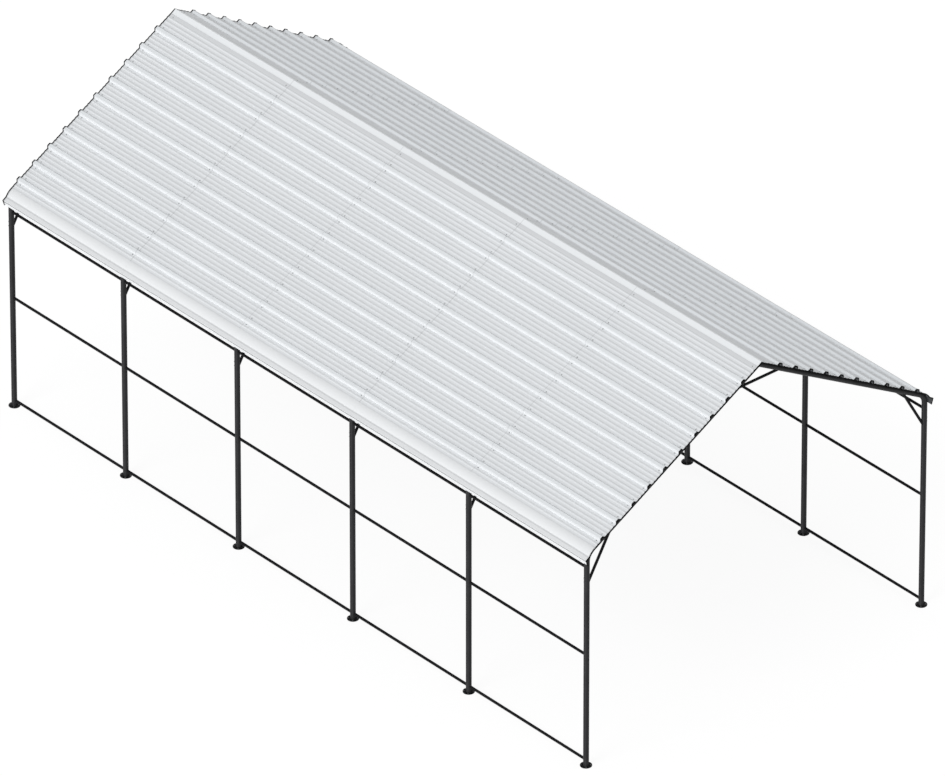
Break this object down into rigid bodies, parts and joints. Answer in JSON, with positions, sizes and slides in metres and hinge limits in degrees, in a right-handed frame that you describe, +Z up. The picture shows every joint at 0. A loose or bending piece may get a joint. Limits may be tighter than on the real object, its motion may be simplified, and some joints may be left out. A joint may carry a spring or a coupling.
{
  "type": "carport",
  "caption": "Open-sided carport: round-tube portal frames on bolted foot discs, side rails and knee braces under a pitched ribbed steel roof.",
  "frame": {"origin": "on the ground, at the centre of the footprint", "axes": "+X across the carport to the right seen from the front gable, +Y along the ridge from the front gable to the back, +Z up"},
  "size_m": [3.897, 7.6086, 3.2351],
  "materials": {
    "foot": "satin",
    "tube": "satin",
    "rail": "satin",
    "trim": "satin",
    "seal": "matte",
    "sheet": "satin"
  },
  "bodies": {
    "root": {"foot_plates_left": "foot", "foot_plates_right": "foot", "lower_posts_left": "tube", "lower_posts_right": "tube", "upper_posts_left": "tube", "upper_posts_right": "tube", "elbows_left": "tube", "elbows_right": "tube", "rafters_left": "tube", "rafters_right": "tube", "knee_braces_left": "rail", "knee_braces_right": "rail", "collar_ties": "rail", "bottom_rails_left": "rail", "bottom_rails_right": "rail", "mid_rails_left": "rail", "mid_rails_right": "rail", "eave_rails_left": "rail", "eave_rails_right": "rail", "eave_flashings_left": "trim", "eave_flashings_right": "trim", "ridge_caps": "trim", "edge_seals_left": "seal", "edge_seals_right": "seal", "lower_sheet_left_1": "sheet", "lower_sheet_left_2": "sheet", "lower_sheet_left_3": "sheet", "lower_sheet_left_4": "sheet", "lower_sheet_left_5": "sheet", "lower_sheet_right_1": "sheet", "lower_sheet_right_2": "sheet", "lower_sheet_right_3": "sheet", "lower_sheet_right_4": "sheet", "lower_sheet_right_5": "sheet", "upper_sheet_left_1": "sheet", "upper_sheet_left_2": "sheet", "upper_sheet_left_3": "sheet", "upper_sheet_left_4": "sheet", "upper_sheet_left_5": "sheet", "upper_sheet_right_1": "sheet", "upper_sheet_right_2": "sheet", "upper_sheet_right_3": "sheet", "upper_sheet_right_4": "sheet", "upper_sheet_right_5": "sheet"}
  },
  "joints": []
}
